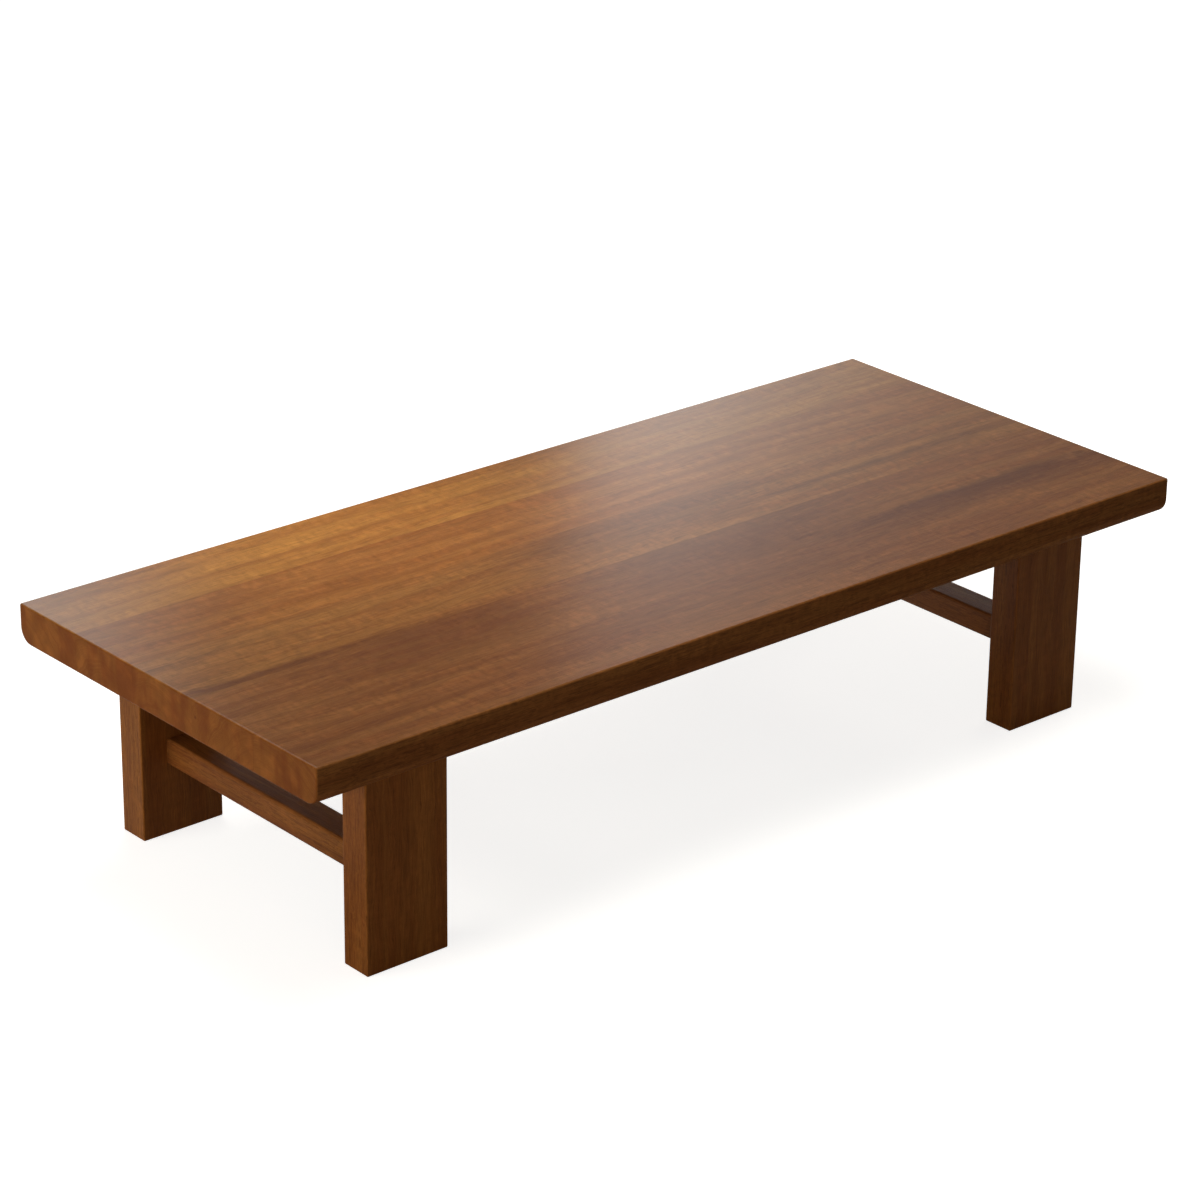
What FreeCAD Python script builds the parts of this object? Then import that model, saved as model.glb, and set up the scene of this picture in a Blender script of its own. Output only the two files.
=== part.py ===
import FreeCAD, Part
import os

# Low floor table, in millimetres.
# +X runs along its length, +Y to its back, +Z up. The origin is on the floor, below its centre.

# Overall sizes
table_length = 1400.0
table_width = 600.0
table_height = 320.0

# Slab of edge-glued boards
slab_thickness = 50.0
board_count = 5
under_radius = 20.0             # rounding of the slab's two long lower edges
slab_edge_radius = 2.5          # easing of the top edges and of both ends

# Loose splines in the board joints, in grooves that stop short of the ends
spline_thickness = 10.0
spline_width = 28.0
spline_chamfer = 1.0
spline_end_margin = 70.0        # slab end to the end of a spline
groove_end_gap = 2.0            # room beyond each end of a spline
groove_bottom_gap = 0.5         # room for glue behind each edge of a spline

# Plank legs
leg_width = 120.0               # along the table
leg_thickness = 45.0            # across the table
leg_end_inset = 105.0           # slab end to leg
leg_side_inset = 50.0           # slab side to leg
leg_edge_radius = 2.0
foot_chamfer = 1.0

# Stretchers, one low rail in each end frame
stretcher_width = 44.0
stretcher_height = 35.0
stretcher_floor_gap = 95.0
stretcher_edge_radius = 4.5
tenon_thickness = 18.0          # shoulders stay on all four sides
tenon_height = 25.0
tenon_length = 30.0

# Bearers, one flat batten across the leg tops of each end frame
bearer_width = 90.0
bearer_height = 34.0
bearer_edge_radius = 3.0
dovetail_neck = 56.0            # width of the dovetail at its shoulder
dovetail_flare = 5.0            # how far each cheek spreads by the dovetail's end
dovetail_length = 30.0

# Bolts up through the bearers into threaded sleeves in the slab
bolt_diameter = 8.0
bolt_length = 45.0
bolt_head_diameter = 13.0
bolt_head_height = 8.0
bolt_row_spacing = 40.0         # between the two rows that a bearer's bolts take turns in
key_across_flats = 6.0
key_depth = 4.0
washer_diameter = 20.0
washer_thickness = 2.0
head_recess = 2.0               # bolt head to the bearer's lower face
insert_diameter = 14.0
insert_length = 25.0
insert_recess = 1.0             # sleeve to the slab's lower face
slot_travel = 8.0               # play of an outer bolt across the grain, as the slab swells and shrinks

# Clearances
glue_gap = 0.1                  # each side of a spline, tenon or dovetail
mortise_end_gap = 1.0           # room for glue beyond the end of a tenon or dovetail
bolt_hole_gap = 0.5             # each side of a bolt in wood
washer_gap = 1.0                # each side of a washer in its counterbore
thread_gap = 0.1                # each side of a bolt in its sleeve or washer
insert_gap = 0.1                # each side of a sleeve in the slab
insert_hole_run = 3.0           # drilled past the end of the sleeve or bolt
overcut = 1.0                   # how far a cutter runs out into free space

# Worked out from the sizes above
half_length = table_length / 2
half_width = table_width / 2
slab_bottom = table_height - slab_thickness
board_width = table_width / board_count
frame_x = half_length - leg_end_inset - leg_width / 2       # centre of an end frame
shoulder_y = half_width - leg_side_inset - leg_thickness    # inner faces of the legs
stretcher_z = stretcher_floor_gap + stretcher_height / 2
bearer_bottom = slab_bottom - bearer_height
counterbore_depth = head_recess + bolt_head_height + washer_thickness
bolt_head_top = bearer_bottom + head_recess + bolt_head_height
bolt_reach = bolt_head_top + bolt_length - slab_bottom      # how far a bolt runs up into the slab
insert_hole_depth = max(bolt_reach, insert_recess + insert_length) + insert_hole_run

x_axis = FreeCAD.Vector(1, 0, 0)
y_axis = FreeCAD.Vector(0, 1, 0)
z_axis = FreeCAD.Vector(0, 0, 1)
sides = {"left": -1, "right": 1}
flanks = {"front": -1, "back": 1}
same_place = 1e-6               # nearer than this is the same place


def block(x_range, y_range, z_range):
    low = FreeCAD.Vector(min(x_range), min(y_range), min(z_range))
    high = FreeCAD.Vector(max(x_range), max(y_range), max(z_range))
    size = high - low
    return Part.makeBox(size.x, size.y, size.z, low)


def about(middle, width):
    return (middle - width / 2, middle + width / 2)


def edges_along(shape, direction):
    def lies_along(edge):
        return edge.tangentAt(edge.FirstParameter).cross(direction).Length < same_place
    return [edge for edge in shape.Edges if lies_along(edge)]


def at_height(edge, height):
    box = edge.BoundBox
    return abs(box.ZMin - height) < same_place and abs(box.ZMax - height) < same_place


def rounded_prism(middle, along, travel, radius, sweep):
    """Prism with two straight sides and round ends, or a plain cylinder where there is no travel."""
    if travel <= 0:
        return Part.makeCylinder(radius, sweep.Length, middle, sweep)
    across = sweep.cross(along)
    across.normalize()
    across = across * radius
    first = middle + along * (travel / 2)
    last = middle - along * (travel / 2)
    outline = [
        Part.Arc(first + across, first + along * radius, first - across),
        Part.LineSegment(first - across, last - across),
        Part.Arc(last - across, last - along * radius, last + across),
        Part.LineSegment(last + across, first + across),
    ]
    wire = Part.Wire([curve.toShape() for curve in outline])
    return Part.Face(wire).extrude(sweep)


def fixing_points(side):
    """Places of one bearer's bolts: on the middle line of each inner board, in two rows by turns."""
    points = []
    for index in range(1, board_count - 1):
        row = 1 if index % 2 else -1
        x = side * (frame_x + row * bolt_row_spacing / 2)
        y = (index - (board_count - 1) / 2) * board_width
        points.append(FreeCAD.Vector(x, y, 0))
    return points


def all_fixing_points():
    return [point for side in sides.values() for point in fixing_points(side)]


def slab_blank():
    """Whole slab before it is parted into boards, with its long lower edges well rounded."""
    blank = block((-half_length, half_length), (-half_width, half_width), (slab_bottom, table_height))
    lower_edges = [edge for edge in edges_along(blank, x_axis) if at_height(edge, slab_bottom)]
    slab = blank.makeFillet(under_radius, lower_edges)
    top_edges = [edge for edge in edges_along(slab, x_axis) if at_height(edge, table_height)]
    end_edges = [edge for edge in slab.Edges if edge.BoundBox.XLength < same_place]
    return slab.makeFillet(slab_edge_radius, top_edges + end_edges)


def insert_holes():
    radius = insert_diameter / 2 + insert_gap
    holes = []
    for point in all_fixing_points():
        mouth = point + z_axis * (slab_bottom - overcut)
        holes.append(Part.makeCylinder(radius, insert_hole_depth + overcut, mouth))
    return holes


def spline_groove(joint_y, side):
    """Stopped groove in the board on one side of a joint."""
    depth = spline_width / 2 + groove_bottom_gap
    height = spline_thickness + 2 * glue_gap
    z_low = slab_bottom + (slab_thickness - height) / 2
    reach = half_length - spline_end_margin + groove_end_gap
    y_range = (joint_y - side * overcut, joint_y + side * depth)
    return block((-reach, reach), y_range, (z_low, z_low + height))


def top_boards():
    slab = slab_blank().cut(insert_holes())
    boards = {}
    for index in range(board_count):
        low = index * board_width - half_width
        high = low + board_width
        keep = block((-table_length, table_length), (low, high), (0, 2 * table_height))
        board = slab.common(keep)
        if index > 0:
            board = board.cut(spline_groove(low, 1))
        if index < board_count - 1:
            board = board.cut(spline_groove(high, -1))
        boards[f"top_board_{index + 1}"] = board
    return boards


def top_splines():
    reach = half_length - spline_end_margin
    middle_z = slab_bottom + slab_thickness / 2
    splines = {}
    for index in range(1, board_count):
        joint_y = index * board_width - half_width
        spline = block((-reach, reach), about(joint_y, spline_width), about(middle_z, spline_thickness))
        splines[f"top_spline_{index}"] = spline.makeChamfer(spline_chamfer, edges_along(spline, x_axis))
    return splines


def tenon(middle_x, side_gap, length, flank):
    """Tenon of a stretcher, or with a gap round it the blind mortise for it in a leg."""
    y_range = (flank * shoulder_y, flank * (shoulder_y + length))
    x_range = about(middle_x, tenon_thickness + 2 * side_gap)
    return block(x_range, y_range, about(stretcher_z, tenon_height + 2 * side_gap))


def dovetail(middle_x, side_gap, length, flank, z_range):
    """Dovetail of a bearer, or with a gap round it the socket for it in a leg."""
    neck = dovetail_neck / 2 + side_gap
    tip = neck + dovetail_flare * length / dovetail_length
    root_y = flank * shoulder_y
    tip_y = flank * (shoulder_y + length)
    low, high = z_range
    corners = [(-neck, root_y), (neck, root_y), (tip, tip_y), (-tip, tip_y)]
    points = [FreeCAD.Vector(middle_x + x, y, low) for x, y in corners]
    return Part.Face(Part.makePolygon(points + points[:1])).extrude(z_axis * (high - low))


def leg(side, flank):
    middle_x = side * frame_x
    outer_y = flank * (shoulder_y + leg_thickness)
    plank = block(about(middle_x, leg_width), (flank * shoulder_y, outer_y), (0, slab_bottom))
    plank = plank.makeFillet(leg_edge_radius, edges_along(plank, z_axis))
    plank = plank.makeChamfer(foot_chamfer, [edge for edge in plank.Edges if at_height(edge, 0)])
    mortise = tenon(middle_x, glue_gap, tenon_length + mortise_end_gap, flank)
    socket_z = (bearer_bottom, slab_bottom + overcut)
    socket = dovetail(middle_x, glue_gap, dovetail_length + mortise_end_gap, flank, socket_z)
    return plank.cut([mortise, socket])


def stretcher(side):
    middle_x = side * frame_x
    y_range = (-shoulder_y, shoulder_y)
    rail = block(about(middle_x, stretcher_width), y_range, about(stretcher_z, stretcher_height))
    rail = rail.makeFillet(stretcher_edge_radius, edges_along(rail, y_axis))
    return rail.fuse([tenon(middle_x, 0, tenon_length, flank) for flank in flanks.values()])


def bolt_slot(point, radius, z_range):
    """Hole for a bolt in a bearer: round on the middle line, slotted across the table elsewhere."""
    travel = 0 if abs(point.y) < same_place else slot_travel
    low, high = z_range
    return rounded_prism(point + z_axis * low, y_axis, travel, radius, z_axis * (high - low))


def bearer(side):
    middle_x = side * frame_x
    z_range = (bearer_bottom, slab_bottom)
    batten = block(about(middle_x, bearer_width), (-shoulder_y, shoulder_y), z_range)
    lower_edges = [edge for edge in edges_along(batten, y_axis) if at_height(edge, bearer_bottom)]
    batten = batten.makeFillet(bearer_edge_radius, lower_edges)
    for flank in flanks.values():
        batten = batten.fuse(dovetail(middle_x, 0, dovetail_length, flank, z_range))
    bolt_radius = bolt_diameter / 2 + bolt_hole_gap
    head_radius = washer_diameter / 2 + washer_gap
    head_z = (bearer_bottom - overcut, bearer_bottom + counterbore_depth)
    cutters = []
    for point in fixing_points(side):
        cutters.append(bolt_slot(point, bolt_radius, (bearer_bottom, slab_bottom + overcut)))
        cutters.append(bolt_slot(point, head_radius, head_z))
    return batten.cut(cutters)


def bolt(point):
    """Socket-head bolt, head down, with a hexagon recess for its key."""
    head_low = bolt_head_top - bolt_head_height
    head = Part.makeCylinder(bolt_head_diameter / 2, bolt_head_height, point + z_axis * head_low)
    shank = Part.makeCylinder(bolt_diameter / 2, bolt_length, point + z_axis * bolt_head_top)
    middle = point + z_axis * head_low
    corner = x_axis * (key_across_flats / 3 ** 0.5)
    corners = [middle + FreeCAD.Rotation(z_axis, 60 * step).multVec(corner) for step in range(6)]
    key = Part.Face(Part.makePolygon(corners + corners[:1]))
    return head.fuse(shank).cut(key.extrude(z_axis * key_depth))


def washer(point):
    low = point + z_axis * bolt_head_top
    ring = Part.makeCylinder(washer_diameter / 2, washer_thickness, low)
    return ring.cut(Part.makeCylinder(bolt_diameter / 2 + thread_gap, washer_thickness, low))


def insert(point):
    low = point + z_axis * (slab_bottom + insert_recess)
    sleeve = Part.makeCylinder(insert_diameter / 2, insert_length, low)
    return sleeve.cut(Part.makeCylinder(bolt_diameter / 2 + thread_gap, insert_length, low))


def table_pieces():
    pieces = {}
    pieces.update(top_boards())
    pieces.update(top_splines())
    for side_name, side in sides.items():
        for flank_name, flank in flanks.items():
            pieces[f"leg_{flank_name}_{side_name}"] = leg(side, flank)
        pieces[f"stretcher_{side_name}"] = stretcher(side)
        pieces[f"bearer_{side_name}"] = bearer(side)
    for name, make in (("slab_bolts", bolt), ("slab_washers", washer), ("slab_inserts", insert)):
        pieces[name] = Part.makeCompound([make(point) for point in all_fixing_points()])
    return pieces


os.makedirs("parts", exist_ok=True)
for name, shape in table_pieces().items():
    shape.exportStep(f"parts/{name}.step")
    print(f"{name}: {len(shape.Solids)} solid(s), valid {shape.isValid()}, {shape.Volume / 1000:.1f} cm3")
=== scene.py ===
import math

import bpy
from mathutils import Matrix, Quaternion, Vector


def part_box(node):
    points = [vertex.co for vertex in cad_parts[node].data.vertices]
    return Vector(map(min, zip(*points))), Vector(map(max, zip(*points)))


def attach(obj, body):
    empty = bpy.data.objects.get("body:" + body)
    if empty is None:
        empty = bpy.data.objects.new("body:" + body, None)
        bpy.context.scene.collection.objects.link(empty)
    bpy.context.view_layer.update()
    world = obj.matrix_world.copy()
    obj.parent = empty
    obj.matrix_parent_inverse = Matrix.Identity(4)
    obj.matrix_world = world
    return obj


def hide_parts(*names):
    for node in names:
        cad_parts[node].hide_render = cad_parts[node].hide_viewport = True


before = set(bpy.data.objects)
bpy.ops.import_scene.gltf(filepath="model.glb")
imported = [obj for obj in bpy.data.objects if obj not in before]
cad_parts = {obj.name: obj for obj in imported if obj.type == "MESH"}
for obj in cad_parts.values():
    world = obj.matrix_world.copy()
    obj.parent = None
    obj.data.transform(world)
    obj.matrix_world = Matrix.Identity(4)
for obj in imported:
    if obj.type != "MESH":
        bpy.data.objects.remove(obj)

scene = bpy.context.scene
scene.view_settings.view_transform = "Standard"
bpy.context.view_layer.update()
print("frame loaded:", len(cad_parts), "pieces")


# short ways to build node trees; a value may be a number, a vector or another node's output

def feed(tree, value, socket):
    if isinstance(value, bpy.types.NodeSocket):
        tree.links.new(value, socket)
    else:
        socket.default_value = value


def addNode(tree, kind, values=None, **settings):
    node = tree.nodes.new(kind)
    for key, value in settings.items():
        setattr(node, key, value)
    for key, value in (values or {}).items():
        feed(tree, value, node.inputs[key])
    return node


def calc(tree, operation, *values):
    return addNode(tree, "ShaderNodeMath", dict(enumerate(values)), operation=operation).outputs[0]


def calcVector(tree, operation, *values):
    return addNode(tree, "ShaderNodeVectorMath", dict(enumerate(values)), operation=operation).outputs[0]


def spread(tree, value, low, high, toLow=0.0, toHigh=1.0, kind="SMOOTHSTEP"):
    numbers = dict(enumerate((value, low, high, toLow, toHigh)))
    return addNode(tree, "ShaderNodeMapRange", numbers, interpolation_type=kind).outputs[0]


def mixColor(tree, factor, first, second, blend="MIX"):
    sockets = {0: factor, 6: first, 7: second}      # the colour sockets of a mix
    return addNode(tree, "ShaderNodeMix", sockets, data_type="RGBA", blend_type=blend).outputs[2]


def split(tree, vector):
    return addNode(tree, "ShaderNodeSeparateXYZ", {"Vector": vector}).outputs


def join(tree, *values):
    return addNode(tree, "ShaderNodeCombineXYZ", dict(enumerate(values))).outputs[0]


def lengthOf(tree, vector):
    return addNode(tree, "ShaderNodeVectorMath", {0: vector}, operation="LENGTH").outputs["Value"]


def noise(tree, vector, detail=2.0):
    return addNode(tree, "ShaderNodeTexNoise", {"Vector": vector, "Detail": detail}).outputs


def opaque(color):
    return (*color, 1.0)


def newMaterial(name):
    material = bpy.data.materials.new(name)
    material.use_nodes = True
    return material, material.node_tree, material.node_tree.nodes["Principled BSDF"]


def addObject(name, data):
    made = bpy.data.objects.new(name, data)
    scene.collection.objects.link(made)
    return made


def aim(thing, place, lookAt, roll=0.0):
    thing.location = place
    sight = Vector(lookAt) - Vector(place)
    turn = Quaternion((0, 0, 1), math.radians(roll))
    thing.rotation_euler = (sight.to_track_quat("-Z", "Y") @ turn).to_euler()


# camera at the photo's angle

cameraView = {
    "place": (-3.0940, -3.5487, 2.2531),
    "lookAt": (0.0360, 0.0747, 0.2000),
    "lens": 120.65,         # mm
    "sensor": 36.0,         # mm
    "roll": 0.689,          # degrees
}


def addCamera(look):
    data = bpy.data.cameras.new("photoCamera")
    data.sensor_width = look["sensor"]
    data.lens = look["lens"]
    scene.camera = addObject("photoCamera", data)
    aim(scene.camera, look["place"], look["lookAt"], look["roll"])


# white floor that keeps the shadow

floorLook = {
    "size": 80.0,           # m
    "shown": 0.75,          # how pale it looks
    "bounce": 0.42,         # how much light it throws back up
    "nearGlow": 0.80,       # white added to it beside the table, and far away
    "farGlow": 1.0,
    "near": 1.0,            # m from the table's middle
    "far": 2.6,
    "darkFrom": 0.10,       # m along y, where its mirror image starts and ends to darken to the front
    "darkTo": -0.10,
}


def shownRays(tree):
    path = addNode(tree, "ShaderNodeLightPath").outputs
    direct = calc(tree, "MAXIMUM", path["Is Camera Ray"], path["Is Transmission Ray"])
    return direct, path["Is Glossy Ray"]


def addFloor(look):
    half = look["size"] / 2
    mesh = bpy.data.meshes.new("studioFloor")
    corners = [(-half, -half, 0), (half, -half, 0), (half, half, 0), (-half, half, 0)]
    mesh.from_pydata(corners, [], [(0, 1, 2, 3)])
    material, tree, shader = newMaterial("paleFloor")
    tree.nodes.remove(shader)
    direct, mirrored = shownRays(tree)
    place = addNode(tree, "ShaderNodeTexCoord").outputs["Object"]
    behind = spread(tree, split(tree, place)["Y"], look["darkTo"], look["darkFrom"])
    shown = calc(tree, "MAXIMUM", direct, calc(tree, "MULTIPLY", mirrored, behind))
    away = lengthOf(tree, place)
    glow = spread(tree, away, look["near"], look["far"], look["nearGlow"], look["farGlow"])
    strength = calc(tree, "MULTIPLY", shown, glow)
    shade = spread(tree, shown, 0.0, 1.0, look["bounce"], look["shown"], kind="LINEAR")
    matt = addNode(tree, "ShaderNodeBsdfDiffuse", {"Color": shade}).outputs[0]
    light = addNode(tree, "ShaderNodeEmission", {"Strength": strength}).outputs[0]
    front = addNode(tree, "ShaderNodeAddShader", {0: matt, 1: light}).outputs[0]
    clear = addNode(tree, "ShaderNodeBsdfTransparent").outputs[0]
    below = addNode(tree, "ShaderNodeNewGeometry").outputs["Backfacing"]      # clear when seen from below
    both = addNode(tree, "ShaderNodeMixShader", {0: below, 1: front, 2: clear}).outputs[0]
    tree.links.new(both, tree.nodes["Material Output"].inputs["Surface"])
    mesh.materials.append(material)
    addObject("studioFloor", mesh)


# pale surroundings with two bright windows that only the lacquer mirrors

worldLook = {
    "fill": (0.103, 0.093, 0.078),      # soft light from all round
    "white": 1.0,                       # seen behind the table, and mirrored low down
    "ceiling": 0.012,                   # mirrored from higher up
    "whiteTo": 0.10,                    # sines of the heights between which the white fades
    "ceilingFrom": 0.34,
}
windowLook = {
    "toward": (0.653, 0.757),           # flat direction from the camera over the table
    "bright": 4.4,                      # low down, then higher up
    "dim": 0.55,
    "dimFrom": 0.31,                    # height over distance where it starts and ends to dim
    "dimTo": 0.46,
    "edge": (-0.015, 0.002),            # sideways slopes of its sharp left edge
    "fadeFrom": 0.018,                  # sideways slope where it starts to fade to the right
    "fadeOver": 0.045,                  # and how slowly
    "leftEdge": (-0.098, -0.158),       # second window, further left
    "leftBright": 2.4,
    "leftDim": 1.1,
    "leftDimTo": 1.0,
    "sill": (0.05, 0.25),               # height over distance where both windows start
    "inFront": (0.0, 0.2),              # how far ahead a direction must point to meet them
    "least": 0.05,                      # keeps the slopes finite
}


def addWindows(tree, look):
    east, north, up = split(tree, addNode(tree, "ShaderNodeTexCoord").outputs["Generated"])
    ahead, aside = look["toward"]
    forward = calc(tree, "MULTIPLY_ADD", east, ahead, calc(tree, "MULTIPLY", north, aside))
    sideways = calc(tree, "MULTIPLY_ADD", east, aside, calc(tree, "MULTIPLY", north, -ahead))
    slope = calc(tree, "DIVIDE", sideways, calc(tree, "MAXIMUM", forward, look["least"]))
    flat = calc(tree, "SQRT", calc(tree, "SUBTRACT", 1.0, calc(tree, "MULTIPLY", up, up)))
    climb = calc(tree, "DIVIDE", up, calc(tree, "MAXIMUM", flat, look["least"]))
    past = calc(tree, "MAXIMUM", calc(tree, "SUBTRACT", slope, look["fadeFrom"]), 0.0)
    fade = calc(tree, "EXPONENT", calc(tree, "DIVIDE", past, -look["fadeOver"]))
    level = spread(tree, climb, look["dimFrom"], look["dimTo"], look["bright"], look["dim"])
    leftLevel = spread(tree, climb, look["dimFrom"], look["leftDimTo"],
                       look["leftBright"], look["leftDim"])
    main = calc(tree, "MULTIPLY", spread(tree, slope, *look["edge"]), calc(tree, "MULTIPLY", fade, level))
    left = calc(tree, "MULTIPLY", spread(tree, slope, *look["leftEdge"]), leftLevel)
    above = spread(tree, climb, *look["sill"])
    inFront = spread(tree, forward, *look["inFront"])
    return calc(tree, "MULTIPLY", calc(tree, "ADD", main, left), calc(tree, "MULTIPLY", above, inFront)), up


def addWorld(look):
    scene.world = bpy.data.worlds.new("studioWorld")
    scene.world.use_nodes = True
    tree = scene.world.node_tree
    direct, mirrored = shownRays(tree)
    windows, up = addWindows(tree, windowLook)
    around = spread(tree, up, look["whiteTo"], look["ceilingFrom"], look["white"], look["ceiling"])
    fill = mixColor(tree, mirrored, opaque(look["fill"]), calc(tree, "ADD", around, windows))
    white = opaque([look["white"]] * 3)
    feed(tree, mixColor(tree, direct, fill, white), tree.nodes["Background"].inputs["Color"])


# soft lamps

lampLook = {
    "leftSoftbox": {"place": (-2.20, 0.35, 0.49), "lookAt": (-0.60, 0.00, 0.18), "size": (1.5, 0.9),
                    "spread": 180.0, "watts": 18.5, "color": (1.0, 0.96, 0.84)},
    "rightSoftbox": {"place": (2.20, 0.55, 0.43), "lookAt": (0.60, 0.00, 0.18), "size": (1.5, 0.9),
                     "spread": 180.0, "watts": 11.0, "color": (1.0, 0.96, 0.86)},
    "topSoftbox": {"place": (0.08, -0.10, 2.30), "lookAt": (0.03, -0.05, 0.32), "size": (1.6, 1.2),
                   "spread": 180.0, "watts": 31.0, "color": (1.0, 0.97, 0.90)},
    "backPool": {"place": (-0.26, 0.53, 0.95), "lookAt": (-0.24, 0.24, 0.32), "size": (0.35, 0.25),
                 "spread": 75.0, "watts": 0.92, "color": (1.0, 0.97, 0.90)},
    "frontFill": {"place": (-1.40, -2.60, 0.50), "lookAt": (0.0, -0.30, 0.18), "size": (1.2, 0.8),
                  "spread": 180.0, "watts": 6.8, "color": (1.0, 0.87, 0.60)},
}


def addLamps(looks):
    for name, look in looks.items():
        data = bpy.data.lights.new(name, "AREA")
        data.shape = "RECTANGLE"
        data.size, data.size_y = look["size"]
        data.spread = math.radians(look["spread"])
        data.energy = look["watts"]
        data.color = look["color"]
        lamp = addObject(name, data)
        aim(lamp, look["place"], look["lookAt"])
        lamp.visible_camera = False
        lamp.visible_glossy = False


# wood figure, solid through each piece: growth rings round a pith line, streaks, fibres, pores,
# flecks and ripple

figureLook = {
    "bend": 0.034,          # m, how far the grain sweeps sideways
    "bendThrough": 0.55,    # share of it that goes through the thickness
    "wiggle": 0.0080,       # m, small waves of the grain
    "taper": 0.012,         # how fast a ring widens along the trunk
    "unevenRings": 2.4,     # how many rings the spacing wanders by
    "wanderStep": 0.21,     # how quickly it wanders
    "lateWood": (0.15, 0.75),       # shares of a ring where the late wood starts and is darkest
    "faintRing": 0.15,      # the faintest ring, as a share of the boldest
    "lull": (0.38, 0.62),   # cloud values between which the ripple grows
    "rippleShare": (0.3, 1.3),
    "seedStep": (3.71, 1.93, 7.17),
    "noiseStep": 11.0,      # these two keep pieces and noises from looking alike
}
figureNoise = {             # waves per 0.2 m along and across the grain
    "broad": (0.55, 2.2),
    "small": (7.0, 20.0),
    "band": (0.45, 10.0),
    "streak": (1.7, 34.0),
    "line": (4.0, 130.0),
    "thread": (8.0, 330.0),
    "fibre": (8.0, 900.0),
    "pore": (60.0, 1900.0),
    "cloud": (2.0, 9.0),
    "ripple": (26.0, 13.0),
    "fleck": (85.0, 330.0),
}
figureLimits = {            # noise values between which each of these goes from clear to full
    "band": (0.36, 0.64),
    "streak": (0.52, 0.78),
    "line": (0.48, 0.76),
    "pore": (0.60, 0.74),
}
noiseMiddle = 0.5           # what a noise swings about, and how far it commonly goes
noiseSwing = 0.25


def addFigureGroup():
    group = bpy.data.node_groups.new("woodFigure", "ShaderNodeTree")
    for name, kind in (("Place", "Vector"), ("Pith", "Vector"), ("Ring Step", "Float"), ("Seed", "Float")):
        group.interface.new_socket(name, in_out="INPUT", socket_type="NodeSocket" + kind)
    given = group.nodes.new("NodeGroupInput").outputs
    seedStep = {0: figureLook["seedStep"], "Scale": given["Seed"]}
    start = addNode(group, "ShaderNodeVectorMath", seedStep, operation="SCALE").outputs[0]

    def grainNoise(name, place, detail=2.0, result="Fac"):
        along, across = figureNoise[name]
        apart = figureLook["noiseStep"] * list(figureNoise).index(name)
        stretched = calcVector(group, "MULTIPLY_ADD", place, (along, across, across), start)
        return noise(group, calcVector(group, "ADD", stretched, (apart, apart, apart)), detail)[result]

    def limited(name, detail=2.0):
        return spread(group, grainNoise(name, swept, detail), *figureLimits[name])

    def sway(name, amount):
        waves = grainNoise(name, given["Place"], result="Color")
        centred = calcVector(group, "SUBTRACT", waves, (noiseMiddle, noiseMiddle, noiseMiddle))
        return calcVector(group, "MULTIPLY", centred, (0.0, amount, amount * figureLook["bendThrough"]))

    bent = calcVector(group, "ADD", sway("broad", figureLook["bend"]), sway("small", figureLook["wiggle"]))
    swept = calcVector(group, "ADD", given["Place"], calcVector(group, "MULTIPLY", bent, (0.0, 1.0, 0.0)))
    deep = calcVector(group, "ADD", given["Place"], bent)
    along, across, through = split(group, calcVector(group, "SUBTRACT", deep, given["Pith"]))
    squares = calc(group, "MULTIPLY_ADD", across, across, calc(group, "MULTIPLY", through, through))
    radius = calc(group, "MULTIPLY_ADD", along, figureLook["taper"], calc(group, "SQRT", squares))
    count = calc(group, "DIVIDE", radius, given["Ring Step"])
    drift = calc(group, "MULTIPLY", count, figureLook["wanderStep"])
    wander = addNode(group, "ShaderNodeTexNoise", {"W": drift}, noise_dimensions="1D").outputs[0]
    count = calc(group, "MULTIPLY_ADD", wander, figureLook["unevenRings"], count)
    within = calc(group, "FRACT", count)
    number = calc(group, "ADD", calc(group, "FLOOR", count), given["Seed"])
    chance = addNode(group, "ShaderNodeTexWhiteNoise", {"W": number}, noise_dimensions="1D").outputs[0]
    bold = spread(group, chance, 0.0, 1.0, figureLook["faintRing"], 1.0, kind="LINEAR")
    lateFrom, latePeak = figureLook["lateWood"]
    rise = spread(group, within, lateFrom, latePeak)
    fall = spread(group, within, latePeak, 1.0, 1.0, 0.0)
    cloud = grainNoise("cloud", swept)
    lull = spread(group, cloud, *figureLook["lull"], *figureLook["rippleShare"])
    ripple = calc(group, "SUBTRACT", grainNoise("ripple", swept, 1.0), noiseMiddle)
    results = {
        "Ring": calc(group, "MULTIPLY", calc(group, "MULTIPLY", rise, fall), bold),
        "Band": limited("band"),
        "Streak": limited("streak", 1.0),
        "Line": limited("line", 0.0),
        "Thread": grainNoise("thread", swept, 0.0),
        "Fibre": grainNoise("fibre", swept),
        "Pore": limited("pore", 1.0),
        "Cloud": cloud,
        "Ripple": calc(group, "MULTIPLY_ADD", ripple, lull, noiseMiddle),
        "Fleck": grainNoise("fleck", swept, 1.0),
        "Across": split(group, swept)["Y"],
    }
    for name in results:
        group.interface.new_socket(name, in_out="OUTPUT", socket_type="NodeSocketFloat")
    addNode(group, "NodeGroupOutput", results)
    return group


# stain and lacquer on the wood; colours of the figure are shares of a piece's tone

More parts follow.
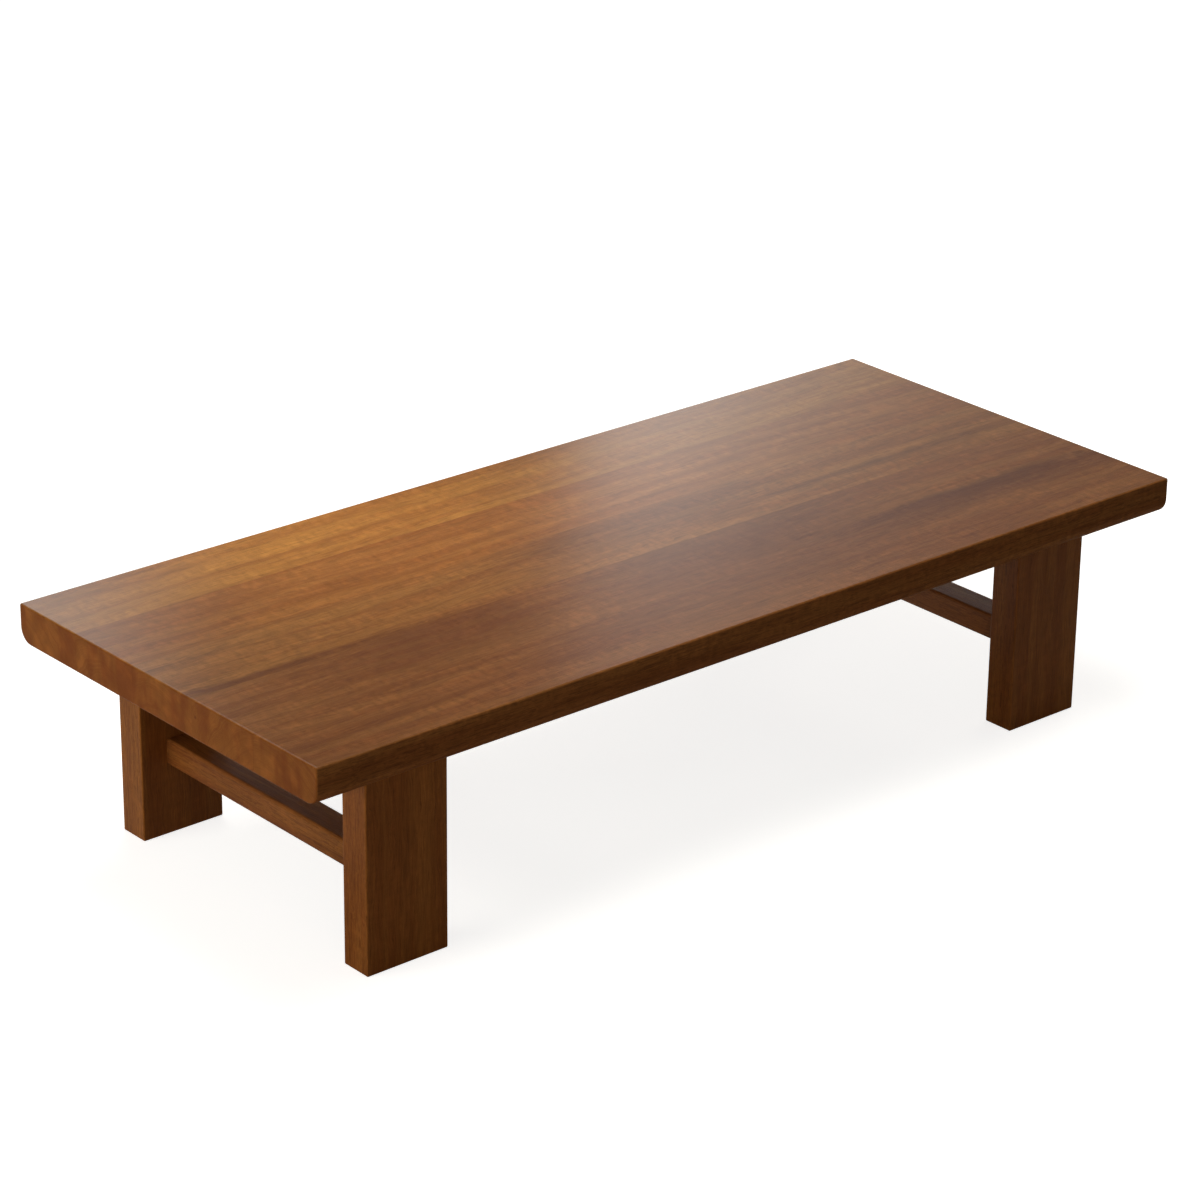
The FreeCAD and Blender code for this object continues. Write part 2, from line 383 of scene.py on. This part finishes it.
finishLook = {
    "light": (1.24, 1.34, 1.30),        # early wood
    "dark": (0.82, 0.72, 0.70),         # late wood
    "red": (0.84, 0.70, 0.68),          # reddish bands
    "stainAndShade": (0.46, 0.38, 0.46),        # dark streaks and lines, and the broad bands of painted shade
    "knot": (0.26, 0.20, 0.22),
    "ring": 0.25,           # how much each part of the figure shows
    "band": 0.58,
    "streak": 0.24,
    "line": 0.25,
    "thread": 0.18,
    "fibre": 0.05,
    "cloud": 0.10,
    "topRipple": 0.14,
    "frameRipple": 0.06,
    "fleck": 0.09,
    "pore": 0.10,
    "endTone": (0.186, 0.0610, 0.0147),     # the ends of all boards look alike
    "endWaves": (1.6, 7.0, 2.6),    # waves of their mottle per 0.2 m
    "endDetail": 3.0,
    "endLimits": (0.36, 0.64),      # noise values between which it goes from clear to full
    "endMottle": 0.80,
    "endCalm": 0.80,        # how much of the bands and lines is lost there
    "endRing": 0.40,        # how much more the growth rings show there
    "sideLift": 0.90,       # how much more the lines show on narrow sides
    "endFacing": (0.6, 0.95),       # how squarely an end must look along the grain, and a side across it
    "wearAndHighlight": 0.06,           # paler rounded edges: partly wear, partly a painted highlight
    "edgeFacing": (0.97, 0.85),     # a face that looks less squarely than this is one
    "wearAndHighlightFacing": (-0.15, 0.0),     # edges that look down further than this get neither the wear nor the painted highlight
    "jointDark": 0.14,      # hairline of glue between boards
    "jointWidth": 0.0009,   # m
    "bump": 0.25,
    "bumpDepth": 0.00025,   # m
    "rough": 0.46,
    "roughSpread": 0.05,
    "poreRough": 0.12,
    "topSpecular": 0.02,
    "frameSpecular": 0.045,
    "rightSpecular": 0.120,         # the right end frame has a little more sheen
    "topCoat": 0.60,
    "frameCoat": 0.08,
    "coatFacing": (0.85, 0.99),     # how far up a face must look to take the coat
    "coatRough": 0.125,
}
grainAxes = {"x": ("X", "Y", "Z"), "y": ("Y", "X", "Z"), "z": ("Z", "X", "Y")}     # along, across, through
# tone of each board, its pith line across and through it, ring width, and how much its grain slants
boardTones = {
    "top_board_1": {"tone": (0.205, 0.0744, 0.0214), "pith": (0.030, -0.110),
                    "ringStep": 0.0042, "seed": 3.0, "slant": 0.005},
    "top_board_2": {"tone": (0.205, 0.0754, 0.0215), "pith": (-0.085, -0.060),
                    "ringStep": 0.0036, "seed": 8.0, "slant": 0.01},
    "top_board_3": {"tone": (0.218, 0.0852, 0.0230), "pith": (0.015, -0.075),
                    "ringStep": 0.0045, "seed": 13.0, "slant": 0.003},
    "top_board_4": {"tone": (0.229, 0.0855, 0.0215), "pith": (-0.010, -0.055),
                    "ringStep": 0.0050, "seed": 21.0, "slant": 0.02},
    "top_board_5": {"tone": (0.256, 0.1050, 0.0246), "pith": (0.090, -0.080),
                    "ringStep": 0.0038, "seed": 34.0, "slant": -0.02},
}
frameTones = {
    "leg": {"along": "z", "tone": (0.201, 0.0680, 0.0167),
            "pith": (0.020, 0.070), "ringStep": 0.0042},
    "stretcher_left": {"along": "y", "tone": (0.195, 0.0660, 0.0163),
                       "pith": (0.040, -0.060), "ringStep": 0.0038},
    # paler than the left stretcher: painted light that brightens its side, which lies in shade
    "stretcher_right": {"along": "y", "tone": (0.275, 0.101, 0.0290),
                        "pith": (0.035, -0.070), "ringStep": 0.0038},
    "bearer": {"along": "y", "tone": (0.205, 0.070, 0.0170),
               "pith": (0.010, -0.060), "ringStep": 0.0042},
    "top_spline": {"along": "x", "tone": (0.300, 0.140, 0.0500),
                   "pith": (0.040, -0.050), "ringStep": 0.0030},
}
# small knots that the grain bends round: place on the table, reach of the bend, how hard it pulls,
# dark core as a share of the reach, darkness
boardKnots = {
    "top_board_1": [
        {"at": (0.355, -0.274, 0.32), "reach": (0.05, 0.01, 0.05), "pull": 0.5, "core": 0.55, "dark": 0.5},
        {"at": (0.01, -0.265, 0.32), "reach": (0.04, 0.008, 0.05), "pull": 0.4, "core": 0.50, "dark": 0.4},
    ],
    "top_board_2": [
        {"at": (-0.5, -0.064, 0.32), "reach": (0.045, 0.014, 0.05), "pull": 0.6, "core": 0.0, "dark": 0.0},
        {"at": (0.19, -0.145, 0.32), "reach": (0.06, 0.01, 0.05), "pull": 0.5, "core": 0.60, "dark": 0.5},
        {"at": (-0.7, -0.067, 0.299), "reach": (0.02, 0.01, 0.01), "pull": 0.5, "core": 0.35, "dark": 0.6},
    ],
}
# dark streaks along the grain, and broad soft bands of painted shade where the top is to look less lit:
# middle on the table, half length, width of the soft side, darkness
boardStreaksAndShade = {
    "top_board_1": [{"at": (-0.400, -0.190), "half": 0.24, "width": 0.016, "dark": 0.35},
                    {"at": (-0.530, -0.245), "half": 0.20, "width": 0.012, "dark": 0.25},
                    {"at": (0.020, -0.183), "half": 0.42, "width": 0.200, "dark": 0.42},
                    {"at": (0.450, -0.180), "half": 0.40, "width": 0.050, "dark": 0.55}],
    "top_board_2": [{"at": (-0.360, -0.072), "half": 0.27, "width": 0.180, "dark": 0.52},
                    {"at": (0.080, -0.068), "half": 0.38, "width": 0.200, "dark": 0.62},
                    {"at": (0.450, -0.162), "half": 0.42, "width": 0.050, "dark": 0.80}],
    "top_board_3": [{"at": (-0.560, -0.048), "half": 0.35, "width": 0.022, "dark": 0.65},
                    {"at": (-0.650, 0.035), "half": 0.16, "width": 0.012, "dark": 0.40},
                    {"at": (0.420, -0.014), "half": 0.30, "width": 0.022, "dark": 0.60},
                    {"at": (0.040, 0.030), "half": 0.34, "width": 0.110, "dark": 0.52}],
    "top_board_4": [{"at": (-0.620, 0.121), "half": 0.14, "width": 0.014, "dark": 0.35},
                    {"at": (-0.180, 0.168), "half": 0.22, "width": 0.012, "dark": 0.35},
                    {"at": (0.110, 0.084), "half": 0.13, "width": 0.012, "dark": 0.35},
                    {"at": (-0.700, 0.175), "half": 0.24, "width": 0.110, "dark": 0.20}],
    "top_board_5": [{"at": (-0.720, 0.296), "half": 0.27, "width": 0.115, "dark": 0.35}],
}
streakShape = {             # shares of a streak's own width and half length
    "sharpSide": 0.35,      # width of the sharp side
    "fadeFrom": 0.60,       # where the ends start and stop to fade
    "fadeTo": 1.35,
    "thread": 0.60,         # how ragged the ends are
    "line": 0.35,
}
firstFrameSeed = 40.0


def bendRoundKnots(tree, place, knots, middle):
    along, across, through = split(tree, place)
    dark = None
    for knot in knots:
        offsets = [calc(tree, "SUBTRACT", value, at) for value, at in
                   zip((along, across, through), Vector(knot["at"]) - middle)]
        reached = calcVector(tree, "DIVIDE", join(tree, *offsets), knot["reach"])
        away = lengthOf(tree, reached)
        near = calc(tree, "EXPONENT", calc(tree, "MULTIPLY", calc(tree, "MULTIPLY", away, away), -1.0))
        moved = calc(tree, "MULTIPLY", calc(tree, "MULTIPLY", offsets[1], near), -knot["pull"])
        across = calc(tree, "ADD", across, moved)
        if knot["dark"]:
            core = spread(tree, away, 0.0, knot["core"], knot["dark"], 0.0)
            dark = core if dark is None else calc(tree, "MAXIMUM", dark, core)
    return join(tree, along, across, through), dark


# darkness of the listed streaks; the broad soft ones are painted shade
def addStreaksAndShade(tree, along, part, look, middle):
    shape = streakShape
    ragged = calc(tree, "MULTIPLY", part["Thread"], shape["thread"])
    ragged = calc(tree, "MULTIPLY_ADD", part["Line"], shape["line"], ragged)
    dark = None
    for streak in look["streaksAndShade"]:
        x, y = Vector(streak["at"]) - middle.xy
        off = calc(tree, "SUBTRACT", part["Across"], y + look["slant"] * x)
        soft = spread(tree, off, -streak["width"], 0.0, 0.0, streak["dark"])
        sharp = spread(tree, off, 0.0, streak["width"] * shape["sharpSide"], 1.0, 0.0)
        away = calc(tree, "ABSOLUTE", calc(tree, "SUBTRACT", along, x))
        away = calc(tree, "ADD", calc(tree, "DIVIDE", away, streak["half"]), ragged)
        kept = spread(tree, away, shape["fadeFrom"], shape["fadeTo"], 1.0, 0.0)
        amount = calc(tree, "MULTIPLY", calc(tree, "MULTIPLY", soft, sharp), kept)
        dark = amount if dark is None else calc(tree, "MAXIMUM", dark, amount)
    return dark


def about(tree, value, amount):
    low, high = noiseMiddle - noiseSwing, noiseMiddle + noiseSwing
    return spread(tree, value, low, high, -amount, amount, kind="LINEAR")


def shares(name):
    return opaque(finishLook[name])


def scaled(tree, value, name):
    return calc(tree, "MULTIPLY", value, finishLook[name])


def makeWood(node, look, figureGroup):
    material, tree, shader = newMaterial("wood_" + node)
    low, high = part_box(node)
    middle = (low + high) / 2
    axes = grainAxes[look["along"]]
    spot = addNode(tree, "ShaderNodeTexCoord").outputs["Object"]
    local = split(tree, calcVector(tree, "SUBTRACT", spot, middle))
    place = join(tree, *[local[axis] for axis in axes])
    knotted = None
    if look.get("knots"):
        place, knotted = bendRoundKnots(tree, place, look["knots"], middle)
    if look.get("slant"):
        along, across, through = split(tree, place)
        place = join(tree, along, calc(tree, "MULTIPLY_ADD", along, look["slant"], across), through)
    given = {"Place": place, "Pith": (0.0, *look["pith"]), "Ring Step": look["ringStep"],
             "Seed": look["seed"]}
    part = addNode(tree, "ShaderNodeGroup", given, node_tree=figureGroup).outputs

    facing = split(tree, addNode(tree, "ShaderNodeNewGeometry").outputs["Normal"])
    sizes = [calc(tree, "ABSOLUTE", facing[axis]) for axis in axes]
    ends = spread(tree, sizes[0], *finishLook["endFacing"])
    sides = spread(tree, sizes[1], *finishLook["endFacing"])
    calm = calc(tree, "MULTIPLY_ADD", ends, -finishLook["endCalm"], 1.0)
    lively = calc(tree, "MULTIPLY_ADD", sides, finishLook["sideLift"], calm)
    ringed = calc(tree, "MULTIPLY_ADD", ends, finishLook["endRing"], finishLook["ring"])

    color = mixColor(tree, calc(tree, "MULTIPLY", part["Ring"], ringed), shares("light"), shares("dark"))
    if look.get("endTone"):
        waves = calcVector(tree, "MULTIPLY", spot, finishLook["endWaves"])
        mottle = noise(tree, waves, finishLook["endDetail"])["Fac"]
        mottle = spread(tree, mottle, *finishLook["endLimits"], 0.0, finishLook["endMottle"])
        color = mixColor(tree, calc(tree, "MULTIPLY", mottle, ends), color, shares("red"))
    layers = (("Band", calm, "red"), ("Streak", lively, "stainAndShade"), ("Line", lively, "stainAndShade"))
    for name, shown, stainAndShade in layers:
        amount = calc(tree, "MULTIPLY", scaled(tree, part[name], name.lower()), shown)
        color = mixColor(tree, amount, color, shares(stainAndShade))
    # listed dark streaks, with the broad soft bands of painted shade
    if look.get("streaksAndShade"):
        streakedAndShaded = addStreaksAndShade(tree, split(tree, place)["X"], part, look, middle)
        color = mixColor(tree, calc(tree, "MULTIPLY", streakedAndShaded, calm), color, shares("stainAndShade"))
    if knotted:
        color = mixColor(tree, knotted, color, shares("knot"))
    tone = mixColor(tree, ends, opaque(look["tone"]), opaque(look.get("endTone", look["tone"])))
    color = mixColor(tree, 1.0, color, tone, blend="MULTIPLY")

    fine = about(tree, part["Thread"], finishLook["thread"])
    fine = calc(tree, "ADD", fine, about(tree, part["Fibre"], finishLook["fibre"]))
    fine = calc(tree, "SUBTRACT", fine, scaled(tree, part["Pore"], "pore"))
    level = calc(tree, "MULTIPLY_ADD", fine, calm, 1.0)
    level = calc(tree, "ADD", level, about(tree, part["Cloud"], finishLook["cloud"]))
    level = calc(tree, "ADD", level, about(tree, part["Ripple"], look["ripple"]))
    level = calc(tree, "ADD", level, about(tree, part["Fleck"], finishLook["fleck"]))
    flat = calc(tree, "MAXIMUM", calc(tree, "MAXIMUM", sizes[0], sizes[1]), sizes[2])
    # rounded edges that don't face down are made paler: partly wear, partly a painted highlight
    worn = calc(tree, "MULTIPLY", spread(tree, flat, *finishLook["edgeFacing"]),
                spread(tree, facing["Z"], *finishLook["wearAndHighlightFacing"]))
    level = calc(tree, "MULTIPLY", level, calc(tree, "MULTIPLY_ADD", worn, finishLook["wearAndHighlight"], 1.0))
    if look.get("jointed"):
        inset = calc(tree, "SUBTRACT", (high.y - low.y) / 2, calc(tree, "ABSOLUTE", local["Y"]))
        line = spread(tree, inset, 0.0, finishLook["jointWidth"], 1.0 - finishLook["jointDark"], 1.0)
        level = calc(tree, "MULTIPLY", level, line)
    color = mixColor(tree, 1.0, color, join(tree, level, level, level), blend="MULTIPLY")
    feed(tree, color, shader.inputs["Base Color"])

    rough = about(tree, part["Fibre"], finishLook["roughSpread"])
    rough = calc(tree, "SUBTRACT", finishLook["rough"], rough)
    rough = calc(tree, "MULTIPLY_ADD", part["Pore"], finishLook["poreRough"], rough)
    feed(tree, rough, shader.inputs["Roughness"])
    height = calc(tree, "SUBTRACT", calc(tree, "ADD", part["Thread"], part["Ring"]), part["Pore"])
    relief = {"Strength": finishLook["bump"], "Distance": finishLook["bumpDepth"], "Height": height}
    feed(tree, addNode(tree, "ShaderNodeBump", relief).outputs[0], shader.inputs["Normal"])
    coat = spread(tree, facing["Z"], *finishLook["coatFacing"], 0.0, look["coat"])
    feed(tree, coat, shader.inputs["Coat Weight"])
    shader.inputs["Coat Roughness"].default_value = finishLook["coatRough"]
    shader.inputs["Specular IOR Level"].default_value = look["specular"]
    return material


def dress(node, material):
    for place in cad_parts[node].material_slots:
        place.material = material


def dressWood():
    group = addFigureGroup()
    top = {"along": "x", "jointed": True, "endTone": finishLook["endTone"], "coat": finishLook["topCoat"],
           "specular": finishLook["topSpecular"], "ripple": finishLook["topRipple"]}
    below = {"coat": finishLook["frameCoat"], "ripple": finishLook["frameRipple"]}
    for name, look in boardTones.items():
        marks = {"knots": boardKnots.get(name), "streaksAndShade": boardStreaksAndShade.get(name)}
        dress(name, makeWood(name, {**look, **top, **marks}, group))
    for number, name in enumerate(sorted(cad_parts)):
        for kind, look in frameTones.items():
            if name.startswith(kind):
                sheen = "rightSpecular" if name.endswith("right") else "frameSpecular"
                own = {"seed": firstFrameSeed + number, "specular": finishLook[sheen]}
                dress(name, makeWood(name, {**look, **below, **own}, group))


# turned metal pieces, made by geometry nodes: a grid wrapped round an axis, ring by ring,
# with an optional thread

boltLook = {
    "Segments": 96,
    "Head Radius": 0.0065,      # m, here and below
    "Head Height": 0.0080,
    "Head Chamfer": 0.0005,
    "Key Flats": 0.0060,
    "Key Depth": 0.0040,
    "Shank Radius": 0.0040,
    "Whole Length": 0.0530,
    "Thread From": 0.0230,
    "Thread Pitch": 0.00125,
    "Thread Depth": 0.0006,
    "Ribs": 24,
    "Rib Depth": 0.00015,
}
boltShares = {
    "mouth": 0.60,              # radius of the key hole's bevel, in widths of the key
    "mouthDepth": 0.6,          # its depth and the lower edge's, in head chamfers
    "shoulder": 0.5,
    "tip": 0.8,                 # radius of the end, in radii of the thread's core
}
washerLook = {
    "Segments": 64,
    "Bore Radius": 0.0042,
    "Outer Radius": 0.0100,
    "Thickness": 0.0020,
    "Chamfer": 0.0003,
}
sleeveLook = {
    "Segments": 48,
    "Bore Radius": 0.0041,
    "Root Radius": 0.0062,
    "Length": 0.0250,
    "Chamfer": 0.0005,
    "Thread Pitch": 0.0030,
    "Thread Depth": 0.0008,
}
smoothAngle = 35.0              # degrees, edges sharper than this stay crisp
rowPitch = 0.12                 # m between the bolts of one bearer, used to tell them apart
ringsPerTurn = 2.0              # a root and a crest
extraRings = 3.0                # so that the thread runs out at both ends
mergeGap = 1e-6                 # m, points closer than this become one
levelGap = 1e-7                 # m, a ring held back by more than this has no crest
hexTurn = math.pi / 3           # from one flat of the key to the next
roundRing = 0.0                 # kinds of ring, and how near a kind must be to count
hexRing = 1.0
ribbedRing = 2.0
kindGap = 0.1


def boltProfile(tree, size):
    flat = calc(tree, "MULTIPLY", size["Key Flats"], 0.5)
    mouth = calc(tree, "MULTIPLY", size["Key Flats"], boltShares["mouth"])
    mouthEnd = calc(tree, "MULTIPLY", size["Head Chamfer"], boltShares["mouthDepth"])
    faceEdge = calc(tree, "SUBTRACT", size["Head Radius"], size["Head Chamfer"])
    lowerEdge = calc(tree, "MULTIPLY", size["Head Chamfer"], boltShares["shoulder"])
    shoulder = calc(tree, "SUBTRACT", size["Head Height"], lowerEdge)
    core = calc(tree, "SUBTRACT", size["Shank Radius"], size["Thread Depth"])
    tip = calc(tree, "MULTIPLY", core, boltShares["tip"])
    plainEnd = calc(tree, "SUBTRACT", size["Thread From"], size["Thread Depth"])
    threadEnd = calc(tree, "SUBTRACT", size["Whole Length"], size["Thread Pitch"])
    before = [
        (0.0, size["Key Depth"], roundRing),
        (flat, size["Key Depth"], hexRing),
        (flat, mouthEnd, hexRing),
        (mouth, 0.0, roundRing),
        (faceEdge, 0.0, roundRing),
        (size["Head Radius"], size["Head Chamfer"], ribbedRing),
        (size["Head Radius"], shoulder, ribbedRing),
        (faceEdge, size["Head Height"], roundRing),
        (size["Shank Radius"], size["Head Height"], roundRing),
        (size["Shank Radius"], plainEnd, roundRing),
    ]
    after = [
        (tip, size["Whole Length"], roundRing),
        (0.0, size["Whole Length"], roundRing),
    ]
    return before, (core, size["Thread From"], threadEnd), after


def washerProfile(tree, size):
    hole = calc(tree, "ADD", size["Bore Radius"], size["Chamfer"])
    rim = calc(tree, "SUBTRACT", size["Outer Radius"], size["Chamfer"])
    top = calc(tree, "SUBTRACT", size["Thickness"], size["Chamfer"])
    rings = [
        (hole, 0.0, roundRing),
        (rim, 0.0, roundRing),
        (size["Outer Radius"], size["Chamfer"], roundRing),
        (size["Outer Radius"], top, roundRing),
        (rim, size["Thickness"], roundRing),
        (hole, size["Thickness"], roundRing),
        (size["Bore Radius"], top, roundRing),
        (size["Bore Radius"], size["Chamfer"], roundRing),
        (hole, 0.0, roundRing),
    ]
    return rings, None, []


def sleeveProfile(tree, size):
    hole = calc(tree, "ADD", size["Bore Radius"], size["Chamfer"])
    top = calc(tree, "SUBTRACT", size["Length"], size["Chamfer"])
    before = [
        (hole, 0.0, roundRing),
        (size["Root Radius"], 0.0, roundRing),
    ]
    after = [
        (size["Root Radius"], size["Length"], roundRing),
        (hole, size["Length"], roundRing),
        (size["Bore Radius"], top, roundRing),
        (size["Bore Radius"], size["Chamfer"], roundRing),
        (hole, 0.0, roundRing),
    ]
    return before, (size["Root Radius"], size["Chamfer"], top), after


def pickRing(tree, rings, number):
    pick = addNode(tree, "GeometryNodeIndexSwitch", data_type="VECTOR")
    for extra in range(len(rings) - 2):
        pick.index_switch_items.new()
    feed(tree, number, pick.inputs[0])
    for place, ring in enumerate(rings):
        feed(tree, join(tree, *ring), pick.inputs[1 + place])
    return split(tree, pick.outputs[0])


def turnedTree(name, look, profile, material):
    tree = bpy.data.node_groups.new(name, "GeometryNodeTree")
    tree.is_modifier = True
    tree.interface.new_socket("Geometry", in_out="INPUT", socket_type="NodeSocketGeometry")
    for key, value in look.items():
        kind = "NodeSocketInt" if isinstance(value, int) else "NodeSocketFloat"
        tree.interface.new_socket(key, in_out="INPUT", socket_type=kind)
    tree.interface.new_socket("Geometry", in_out="OUTPUT", socket_type="NodeSocketGeometry")
    size = tree.nodes.new("NodeGroupInput").outputs
    before, thread, after = profile(tree, size)

    threadRings = 0.0
    if thread:
        core, start, end = thread
        turns = calc(tree, "DIVIDE", calc(tree, "SUBTRACT", end, start), size["Thread Pitch"])
        threadRings = calc(tree, "CEIL", calc(tree, "MULTIPLY", turns, ringsPerTurn))
        threadRings = calc(tree, "ADD", threadRings, extraRings)
    ringCount = calc(tree, "ADD", threadRings, float(len(before) + len(after)))
    columns = calc(tree, "ADD", size["Segments"], 1.0)
    counts = {"Vertices X": columns, "Vertices Y": ringCount}
    grid = addNode(tree, "GeometryNodeMeshGrid", counts).outputs[0]
    index = addNode(tree, "GeometryNodeInputIndex").outputs[0]
    column = calc(tree, "FLOOR", calc(tree, "DIVIDE", calc(tree, "ADD", index, 0.5), ringCount))
    ring = calc(tree, "SUBTRACT", index, calc(tree, "MULTIPLY", column, ringCount))
    turn = calc(tree, "DIVIDE", column, size["Segments"])
    angle = calc(tree, "MULTIPLY", turn, 2.0 * math.pi)

    past = calc(tree, "GREATER_THAN", ring, calc(tree, "ADD", threadRings, len(before) - 0.5))
    number = calc(tree, "SUBTRACT", ring, calc(tree, "MULTIPLY", past, threadRings))
    radius, height, shape = pickRing(tree, before + after, number)
    sector = calc(tree, "FLOORED_MODULO", calc(tree, "ADD", angle, hexTurn / 2), hexTurn)
    fromFlat = calc(tree, "SUBTRACT", sector, hexTurn / 2)
    corner = calc(tree, "DIVIDE", radius, calc(tree, "COSINE", fromFlat))
    isHex = calc(tree, "COMPARE", shape, hexRing, kindGap)
    radius = calc(tree, "MULTIPLY_ADD", isHex, calc(tree, "SUBTRACT", corner, radius), radius)
    if "Ribs" in look:
        wave = calc(tree, "COSINE", calc(tree, "MULTIPLY", angle, size["Ribs"]))
        groove = calc(tree, "MULTIPLY", calc(tree, "MULTIPLY_ADD", wave, 0.5, 0.5), size["Rib Depth"])
        isRibbed = calc(tree, "COMPARE", shape, ribbedRing, kindGap)
        radius = calc(tree, "SUBTRACT", radius, calc(tree, "MULTIPLY", groove, isRibbed))
    if thread:
        step = calc(tree, "SUBTRACT", ring, float(len(before)))
        climb = calc(tree, "MULTIPLY_ADD", step, 1 / ringsPerTurn, calc(tree, "SUBTRACT", turn, 1.0))
        level = calc(tree, "MULTIPLY_ADD", climb, size["Thread Pitch"], start)
        held = calc(tree, "MINIMUM", calc(tree, "MAXIMUM", level, start), end)
        heldBack = calc(tree, "ABSOLUTE", calc(tree, "SUBTRACT", level, held))
        inside = calc(tree, "LESS_THAN", heldBack, levelGap)
        crest = calc(tree, "MULTIPLY", calc(tree, "FLOORED_MODULO", step, ringsPerTurn), inside)
        ridge = calc(tree, "MULTIPLY_ADD", crest, size["Thread Depth"], core)
        started = calc(tree, "GREATER_THAN", ring, len(before) - 0.5)
        threaded = calc(tree, "MULTIPLY", started, calc(tree, "SUBTRACT", 1.0, past))
        radius = spread(tree, threaded, 0.0, 1.0, radius, ridge, kind="LINEAR")
        height = spread(tree, threaded, 0.0, 1.0, height, held, kind="LINEAR")
    spot = join(tree, calc(tree, "MULTIPLY", radius, calc(tree, "COSINE", angle)),
                calc(tree, "MULTIPLY", radius, calc(tree, "SINE", angle)), height)

    solid = addNode(tree, "GeometryNodeSetPosition", {"Geometry": grid, "Position": spot}).outputs[0]
    seam = {"Geometry": solid, "Distance": mergeGap}
    solid = addNode(tree, "GeometryNodeMergeByDistance", seam).outputs[0]
    bend = addNode(tree, "GeometryNodeInputMeshEdgeAngle").outputs["Unsigned Angle"]
    gentle = calc(tree, "LESS_THAN", bend, math.radians(smoothAngle))
    solid = addNode(tree, "GeometryNodeSetShadeSmooth", {"Geometry": solid}, domain="FACE").outputs[0]
    edges = {"Geometry": solid, "Shade Smooth": gentle}
    solid = addNode(tree, "GeometryNodeSetShadeSmooth", edges, domain="EDGE").outputs[0]
    places = {"Points": size["Geometry"], "Instance": solid}
    copies = addNode(tree, "GeometryNodeInstanceOnPoints", places).outputs[0]
    real = addNode(tree, "GeometryNodeRealizeInstances", {"Geometry": copies}).outputs[0]
    done = addNode(tree, "GeometryNodeSetMaterial", {"Geometry": real, "Material": material}).outputs[0]
    addNode(tree, "NodeGroupOutput", {0: done})
    return tree


def placesOf(node):
    groups = {}
    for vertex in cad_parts[node].data.vertices:
        groups.setdefault((vertex.co.x > 0, round(vertex.co.y / rowPitch)), []).append(vertex.co)
    spots = []
    for group in groups.values():
        low = [min(spot[axis] for spot in group) for axis in range(3)]
        high = [max(spot[axis] for spot in group) for axis in range(3)]
        spots.append(((low[0] + high[0]) / 2, (low[1] + high[1]) / 2, low[2]))
    return sorted(spots)


def addTurned(name, look, profile, material, node):
    points = bpy.data.meshes.new(name + "Places")
    points.from_pydata(placesOf(node), [], [])
    piece = addObject(name, points)
    step = piece.modifiers.new("turned", "NODES")
    step.node_group = turnedTree(name, look, profile, material)
    for item in step.node_group.interface.items_tree:
        if item.in_out == "INPUT" and item.name in look:
            step[item.identifier] = look[item.name]
    ready = piece.evaluated_get(bpy.context.evaluated_depsgraph_get())
    piece.data = bpy.data.meshes.new_from_object(ready)
    piece.modifiers.clear()
    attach(piece, "root")
    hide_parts(node)
    print(name, len(piece.data.polygons), "faces")


# plated steel and brass

metalLook = {
    "platedSteel": {"bright": (0.56, 0.56, 0.55), "dull": (0.36, 0.355, 0.345),
                    "rough": (0.24, 0.46), "scratch": 0.12},
    "turnedBrass": {"bright": (0.74, 0.53, 0.24), "dull": (0.50, 0.33, 0.13),
                    "rough": (0.26, 0.50), "scratch": 0.10},
}
metalWear = {
    "patch": (160.0, 160.0, 160.0),         # waves per 0.2 m
    "grain": (1400.0, 1400.0, 1400.0),
    "scratch": (300.0, 300.0, 3800.0),
    "patchShare": 0.65,                     # the rest of the wear is grain
    "dullness": (0.36, 0.64),               # noise values between which bright turns dull
    "scratchDepth": 0.0001,                 # m
}


def makeMetal(name):
    look = metalLook[name]
    material, tree, shader = newMaterial(name)
    place = addNode(tree, "ShaderNodeTexCoord").outputs["Object"]
    patch, grain, lines = [noise(tree, calcVector(tree, "MULTIPLY", place, metalWear[kind]))["Fac"]
                           for kind in ("patch", "grain", "scratch")]
    share = metalWear["patchShare"]
    worn = calc(tree, "MULTIPLY_ADD", patch, share, calc(tree, "MULTIPLY", grain, 1.0 - share))
    mark = spread(tree, worn, *metalWear["dullness"])
    color = mixColor(tree, mark, opaque(look["bright"]), opaque(look["dull"]))
    feed(tree, color, shader.inputs["Base Color"])
    feed(tree, spread(tree, mark, 0.0, 1.0, *look["rough"], kind="LINEAR"), shader.inputs["Roughness"])
    relief = {"Strength": look["scratch"], "Distance": metalWear["scratchDepth"], "Height": lines}
    feed(tree, addNode(tree, "ShaderNodeBump", relief).outputs[0], shader.inputs["Normal"])
    shader.inputs["Metallic"].default_value = 1.0
    return material


addCamera(cameraView)
addFloor(floorLook)
addWorld(worldLook)
addLamps(lampLook)
print("stage, lamps and camera placed")
dressWood()
print("wood dressed")
steel = makeMetal("platedSteel")
brass = makeMetal("turnedBrass")
addTurned("socketBolts", boltLook, boltProfile, steel, "slab_bolts")
addTurned("flatWashers", washerLook, washerProfile, steel, "slab_washers")
addTurned("threadedSleeves", sleeveLook, sleeveProfile, brass, "slab_inserts")
